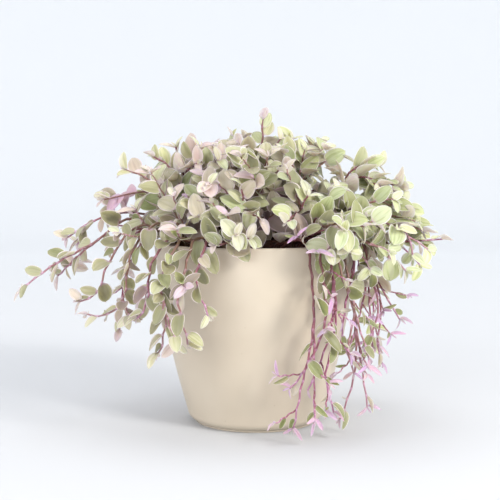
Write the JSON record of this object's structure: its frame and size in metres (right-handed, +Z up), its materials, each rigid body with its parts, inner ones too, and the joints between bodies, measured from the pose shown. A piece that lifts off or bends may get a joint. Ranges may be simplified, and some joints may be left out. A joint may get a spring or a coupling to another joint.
{
  "type": "potted turtle vine",
  "caption": "Trailing turtle vine with small pink-edged, cream and green leaves on pink stems, rooted in soil in a plain tapered round pot.",
  "frame": {"origin": "centre of the pot's foot, on the surface it stands on", "axes": "+Z up, -Y towards the side with the longest trailing stems, +X to their right"},
  "size_m": [0.2496, 0.1699, 0.1818],
  "materials": {
    "pot_glaze": "satin cream glaze",
    "potting_soil": null,
    "foliage": null
  },
  "bodies": {
    "root": {"pot": "pot_glaze", "soil": "potting_soil", "right_stem_01": "foliage", "right_stem_02": "foliage", "right_stem_03": "foliage", "right_stem_04": "foliage", "right_stem_05": "foliage", "right_stem_06": "foliage", "right_stem_07": "foliage", "right_stem_08": "foliage", "right_stem_09": "foliage", "right_stem_10": "foliage", "right_stem_11": "foliage", "right_stem_12": "foliage", "left_stem_01": "foliage", "left_stem_02": "foliage", "left_stem_03": "foliage", "left_stem_04": "foliage", "left_stem_05": "foliage", "left_stem_06": "foliage", "left_stem_07": "foliage", "left_stem_08": "foliage", "left_stem_09": "foliage", "crown_stem_01": "foliage", "crown_stem_02": "foliage", "crown_stem_03": "foliage", "crown_stem_04": "foliage", "crown_stem_05": "foliage", "crown_stem_06": "foliage", "crown_stem_07": "foliage", "crown_stem_08": "foliage", "crown_stem_09": "foliage", "crown_stem_10": "foliage", "crown_stem_11": "foliage", "crown_stem_12": "foliage", "crown_stem_13": "foliage", "crown_stem_14": "foliage", "crown_stem_15": "foliage", "crown_stem_16": "foliage", "crown_stem_17": "foliage", "crown_stem_18": "foliage", "crown_stem_19": "foliage", "crown_stem_20": "foliage", "back_stem_01": "foliage", "back_stem_02": "foliage", "back_stem_03": "foliage", "back_stem_04": "foliage", "back_stem_05": "foliage", "rear_stem_01": "foliage", "rear_stem_02": "foliage", "rear_stem_03": "foliage", "rear_stem_04": "foliage", "rear_stem_05": "foliage", "rear_stem_06": "foliage", "rear_stem_07": "foliage", "rear_stem_08": "foliage", "rear_stem_09": "foliage", "rear_stem_10": "foliage"}
  },
  "joints": []
}
